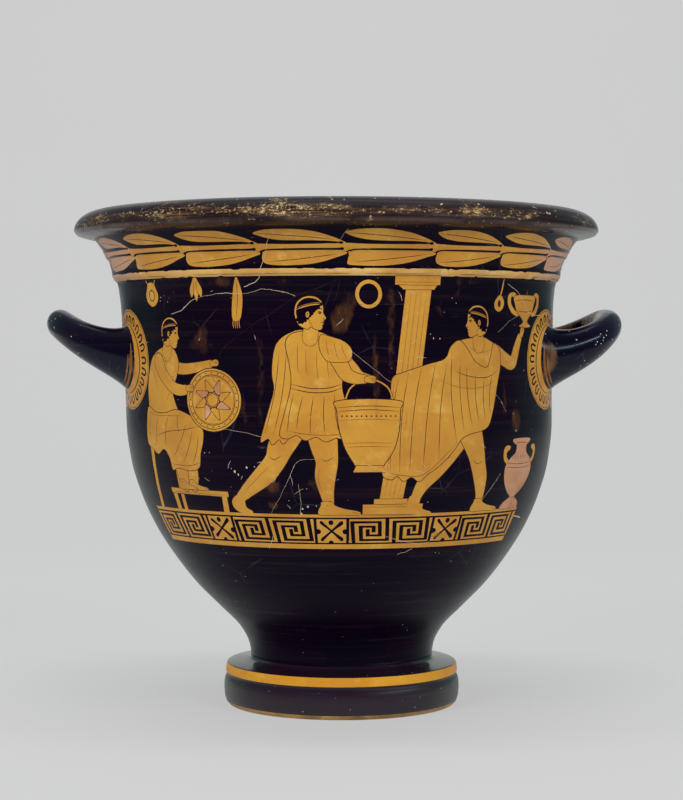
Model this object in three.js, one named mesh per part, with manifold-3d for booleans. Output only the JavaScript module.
// Bell krater: a wheel-thrown, hollow mixing bowl on a disc foot, with a rolled
// overhanging lip and two upturned loop handles. Body, foot and handles were
// joined with slip before firing, so the vessel is one piece of fired clay.
//
// Millimetres, +Z up. The origin is on the standing plane, below the middle of
// the mouth. +X runs out through the right handle; the picture side faces -Y.
import * as THREE from 'three';
import { mergeVertices } from 'three/addons/utils/BufferGeometryUtils.js';
import Module from 'manifold-3d';

// ---------------------------------------------------------------- named sizes
const HEIGHT = 370;            // standing plane to the crown of the lip
const LIP_R = 197.2;           // widest point of the lip
const LIP_Z = 355.0;           // height of that point
const CROWN_R = 177.0;         // crown of the lip
const MOUTH_R = 166.0;         // clear radius just inside the lip
const LIP_ROOT = [182.1, 349.6];   // underside of the lip meets the neck
const NECK_RIDGE = [173.3, 335.2]; // ridge half-way up the neck
const NECK_SET = [171.4, 333.4];   // set-back below the ridge
const CORDON = [169.0, 322.2];     // raised line at the bottom of the neck
const SHOULDER = [165.0, 316.6];   // wall below the cordon

// Outer radius of the bowl at a few heights: stem, calyx, belly, shoulder.
const BOWL = [
  [36, 68.3], [46, 70.2], [58, 76.4], [74, 91.8], [92, 109.5], [112, 125.0],
  [134, 138.9], [158, 149.7], [184, 157.3], [212, 160.6], [240, 161.0],
  [268, 162.1], [296, 162.8], [312, 164.3], [316.6, 165.0],
];
const WALL = 7.0;              // wall of the bowl
const FLOOR_Z = 62;            // bottom of the bowl inside
const FLOOR_R = 50;            // where the floor turns up into the wall

const FOOT_TOP = [86.2, 31.2]; // edge of the foot's upper face
const FOOT_BAND = [87.9, 24.4];// lower edge of the bevelled band
const GROOVE = [86.7, 22.4];   // turned groove below the band
const FOOT_R = 89.1;           // widest point of the foot's side
const FOOT_Z = 12.0;
const BASE_R = 85.6;           // outer edge of the resting ring
const RING_R = 73.0;           // inner edge of the resting ring
const HOLLOW_Z = 47.0;         // depth of the hollow under the foot
const HOLLOW_R = 52.0;

const LEAN = 3.95;             // the foot stands this far towards +X of the mouth

const ROOT_AZ = 19.4 * Math.PI / 180; // handle roots, either side of the X axis
const ROOT_Z = 260.7;          // height of the middle of a root
const ROOT_RADIUS = 29.2;      // flared root where it meets the wall
const LEG_R = 12.3;            // handle section in the legs
const BOW_R = 10.7;            // handle section in the bow
const FLARE = 21.5;            // the root flare dies away over this length
const RISE = [11.0, 15.0];     // the loop climbs this much, evenly and curving
const RISE_POWER = 2.75;       // how late the curving part of the climb comes
const HANDLES = [              // made by eye, so the two differ a little:
  // reach of the bow's middle line, roll of the loop about X, and the power of
  // its plan, an ellipse more or less squared
  { side: 1, reach: 205.4, roll: 4.1 * Math.PI / 180, power: 2.5 },
  { side: -1, reach: 210.4, roll: -3.7 * Math.PI / 180, power: 1.95 },
];

const TURNS = 60;              // facets round the vessel
const LOOP_STEPS = 26;         // rings along a handle
const LOOP_SIDES = 14;         // facets round a handle

// ------------------------------------------------------------------- helpers
// Smooth curve through [height, radius] stations that never overshoots them.
function monotone(stations) {
  const n = stations.length;
  const x = stations.map((s) => s[0]);
  const y = stations.map((s) => s[1]);
  const d = [];
  for (let i = 0; i < n - 1; i++) d.push((y[i + 1] - y[i]) / (x[i + 1] - x[i]));
  const m = [d[0]];
  for (let i = 1; i < n - 1; i++) {
    if (d[i - 1] * d[i] <= 0) { m.push(0); continue; }
    const a = 2 * (x[i + 1] - x[i]) + (x[i] - x[i - 1]);
    const b = (x[i + 1] - x[i]) + 2 * (x[i] - x[i - 1]);
    m.push((a + b) / (a / d[i - 1] + b / d[i]));
  }
  m.push(d[n - 2]);
  return (z) => {
    let i = 0;
    while (i < n - 2 && z > x[i + 1]) i++;
    const h = x[i + 1] - x[i];
    const t = Math.min(Math.max((z - x[i]) / h, 0), 1);
    const t2 = t * t;
    const t3 = t2 * t;
    return (2 * t3 - 3 * t2 + 1) * y[i] + (t3 - 2 * t2 + t) * h * m[i]
      + (-2 * t3 + 3 * t2) * y[i + 1] + (t3 - t2) * h * m[i + 1];
  };
}
const bowlRadius = monotone(BOWL);

// The axis leans a little: foot and mouth are not quite above each other.
function lean(z) {
  const t = Math.min(Math.max((z - 30) / 300, 0), 1);
  return LEAN * (1 - Math.pow(t, 1.6));
}

// --------------------------------------------------- profile, from the inside
// floor, up the inside, over the lip, down the outside, under the foot
function profile() {
  const p = [];
  const put = (r, z) => p.push(new THREE.Vector2(r, z));
  put(0, FLOOR_Z);
  put(FLOOR_R * 0.55, FLOOR_Z + 0.5);
  put(FLOOR_R, FLOOR_Z + 3);
  // inside of the bowl: the wall's thickness is measured square to the wall
  const inside = [];
  for (const z of [74, 90, 110, 134, 160, 190, 230, 280, 310]) {
    const slope = (bowlRadius(z + 1) - bowlRadius(z - 1)) / 2;
    const s = Math.hypot(1, slope);
    inside.push([bowlRadius(z) - WALL / s, z + WALL * slope / s]);
  }
  for (const [r, z] of inside) put(r, z);
  put(NECK_SET[0] - WALL - 1.5, NECK_SET[1]);
  put(MOUTH_R, 352);
  put(MOUTH_R + 1.2, 362);
  put(MOUTH_R + 4.6, HEIGHT - 1.7);
  // crown and outer roll of the lip, a quarter of an ellipse
  for (let i = 0; i <= 6; i++) {
    const a = Math.PI / 2 * (1 - i / 6);
    put(CROWN_R + (LIP_R - CROWN_R) * Math.cos(a), LIP_Z + (HEIGHT - LIP_Z) * Math.sin(a));
  }
  put(LIP_R - 2.2, LIP_Z - 2.6);
  put(LIP_R - 8.5, LIP_Z - 4.3);
  put(...LIP_ROOT);
  put(177.4, 343.6);
  put(...NECK_RIDGE);
  put(...NECK_SET);
  put(CORDON[0] - 0.6, CORDON[1] + 1.1);
  put(...CORDON);
  put(CORDON[0] - 1.1, CORDON[1] - 3);
  put(...SHOULDER);
  for (const z of [306, 284, 262, 240, 216, 194, 174, 154, 134, 116, 98, 80, 66, 56, 46, 37.5]) {
    put(bowlRadius(z), z);
  }
  // foot: upper face, bevelled band, groove, rounded side, resting ring
  put(BOWL[0][1] + 1.6, 34.6);
  put(BOWL[0][1] + 5, 33.5);
  put(...FOOT_TOP);
  put(FOOT_TOP[0] + 0.8, FOOT_TOP[1] - 0.6);
  put(...FOOT_BAND);
  put(...GROOVE);
  put(88.3, 19.6);
  put(FOOT_R, FOOT_Z);
  put(88.6, 5.6);
  put(87.5, 2.4);
  put(BASE_R, 0);
  put(RING_R, 0);
  put(RING_R - 2.4, 3.2);
  put(RING_R - 7.5, 22);
  put(HOLLOW_R, HOLLOW_Z - 6);
  put(HOLLOW_R * 0.7, HOLLOW_Z - 1);
  put(0, HOLLOW_Z);
  return p.reverse();
}

function vesselGeometry() {
  const g = new THREE.LatheGeometry(profile(), TURNS);
  g.rotateX(Math.PI / 2);
  const pos = g.getAttribute('position');
  for (let i = 0; i < pos.count; i++) pos.setX(i, pos.getX(i) + lean(pos.getZ(i)));
  return g;
}

// --------------------------------------------------------------------- handle
// A capped cylinder whose rings are laid along the loop. Near each end the rings
// widen and lie down onto the wall, which makes the flared roots.
function handleGeometry({ side, reach, roll, power }) {
  const wallR = bowlRadius(ROOT_Z);
  const x0 = (wallR - WALL / 2) * Math.cos(ROOT_AZ);
  const half = (wallR - WALL / 2) * Math.sin(ROOT_AZ);
  const depth = reach - x0;
  const middle = (phi) => {
    const c = Math.pow(Math.abs(Math.cos(phi)), 2 / power);
    const s = Math.sign(Math.sin(phi)) * Math.pow(Math.abs(Math.sin(phi)), 2 / power);
    const y = half * s;
    const z = ROOT_Z + RISE[0] * c + RISE[1] * Math.pow(c, RISE_POWER) + y * Math.tan(roll) * c;
    return new THREE.Vector3(x0 + depth * c, y, z);
  };
  // even steps along the loop, from the front root to the back root
  const fine = 400;
  const pts = [];
  for (let i = 0; i <= fine; i++) pts.push(middle(-Math.PI / 2 + Math.PI * i / fine));
  const run = [0];
  for (let i = 1; i <= fine; i++) run.push(run[i - 1] + pts[i].distanceTo(pts[i - 1]));
  const length = run[fine];
  const at = (d) => {
    let i = 1;
    while (i < fine && run[i] < d) i++;
    const t = (d - run[i - 1]) / (run[i] - run[i - 1] || 1);
    return pts[i - 1].clone().lerp(pts[i], Math.min(Math.max(t, 0), 1));
  };
  const g = new THREE.CylinderGeometry(1, 1, 1, LOOP_SIDES, LOOP_STEPS);
  const pos = g.getAttribute('position');
  const v = new THREE.Vector3();
  for (let i = 0; i < pos.count; i++) {
    v.fromBufferAttribute(pos, i);
    const u = v.y + 0.5;                       // 0 at the front root, 1 at the back
    // rings stand closer together in the flares
    const e = u + 0.055 * Math.sin(2 * Math.PI * u) * -1;
    const d = length * e;
    const near = Math.min(d, length - d);      // distance from the nearer root
    const c = at(d);
    const ahead = at(Math.min(d + 1, length)).sub(at(Math.max(d - 1, 0))).normalize();
    const across = new THREE.Vector3(ahead.y, -ahead.x, 0).normalize();
    const up = new THREE.Vector3().crossVectors(across, ahead).normalize();
    if (up.z < 0) up.negate();
    const r = BOW_R + (LEG_R - BOW_R) * Math.exp(-Math.pow(near / (0.42 * length), 4) * 3);
    const tube = c.clone().addScaledVector(across, r * v.x).addScaledVector(up, r * v.z);
    // the same spoke laid on the wall round the root; the first ring sits in it
    const end = u < 0.5 ? -1 : 1;
    const az = end * ROOT_AZ + (across.y * v.x) * ROOT_RADIUS / wallR;
    const sunk = bowlRadius(ROOT_Z) - (near < 0.5 ? WALL * 0.55 : -0.2);
    const wall = new THREE.Vector3(sunk * Math.cos(az), sunk * Math.sin(az), ROOT_Z + ROOT_RADIUS * v.z);
    const hold = Math.exp(-Math.max(near - 3, 0) / FLARE);
    tube.lerp(wall, near < 0.5 ? 1 : hold);
    if (Math.hypot(v.x, v.z) < 0.5) {          // middle of a cap
      tube.set(sunk * Math.cos(end * ROOT_AZ), sunk * Math.sin(end * ROOT_AZ), ROOT_Z);
    }
    pos.setXYZ(i, side * tube.x + lean(tube.z), tube.y, tube.z);
  }
  if (side < 0) {                              // mirrored: turn the faces back out
    const idx = g.getIndex();
    for (let i = 0; i < idx.count; i += 3) {
      const a = idx.getX(i);
      idx.setX(i, idx.getX(i + 1));
      idx.setX(i + 1, a);
    }
  }
  return g;
}

// ------------------------------------------------------------------- booleans
const wasm = await Module();
wasm.setup();

function solid(geometry) {
  const g = geometry.clone();
  g.deleteAttribute('normal');
  g.deleteAttribute('uv');
  const m = mergeVertices(g, 1e-3);
  const index = [];
  const src = m.getIndex().array;
  for (let i = 0; i < src.length; i += 3) {
    const [a, b, c] = [src[i], src[i + 1], src[i + 2]];
    if (a !== b && b !== c && c !== a) index.push(a, b, c);
  }
  const s = new wasm.Manifold(new wasm.Mesh({
    numProp: 3,
    vertProperties: new Float32Array(m.getAttribute('position').array),
    triVerts: new Uint32Array(index),
  }));
  if (s.volume() <= 0) throw new Error('faces point inwards');
  return s;
}

function toGeometry(s) {
  const m = s.getMesh();
  const g = new THREE.BufferGeometry();
  g.setAttribute('position', new THREE.BufferAttribute(new Float32Array(m.vertProperties), 3));
  g.setIndex(new THREE.BufferAttribute(new Uint32Array(m.triVerts), 1));
  g.computeVertexNormals();
  return g;
}

let vessel = solid(vesselGeometry());
for (const h of HANDLES) vessel = vessel.add(solid(handleGeometry(h)));

const blackGloss = new THREE.MeshStandardMaterial({
  name: 'krater', color: 0x15120f, roughness: 0.28, metalness: 0.0,
});
const krater = new THREE.Mesh(toGeometry(vessel), blackGloss);
krater.name = 'krater';

const group = new THREE.Group();
group.add(krater);
export default group;
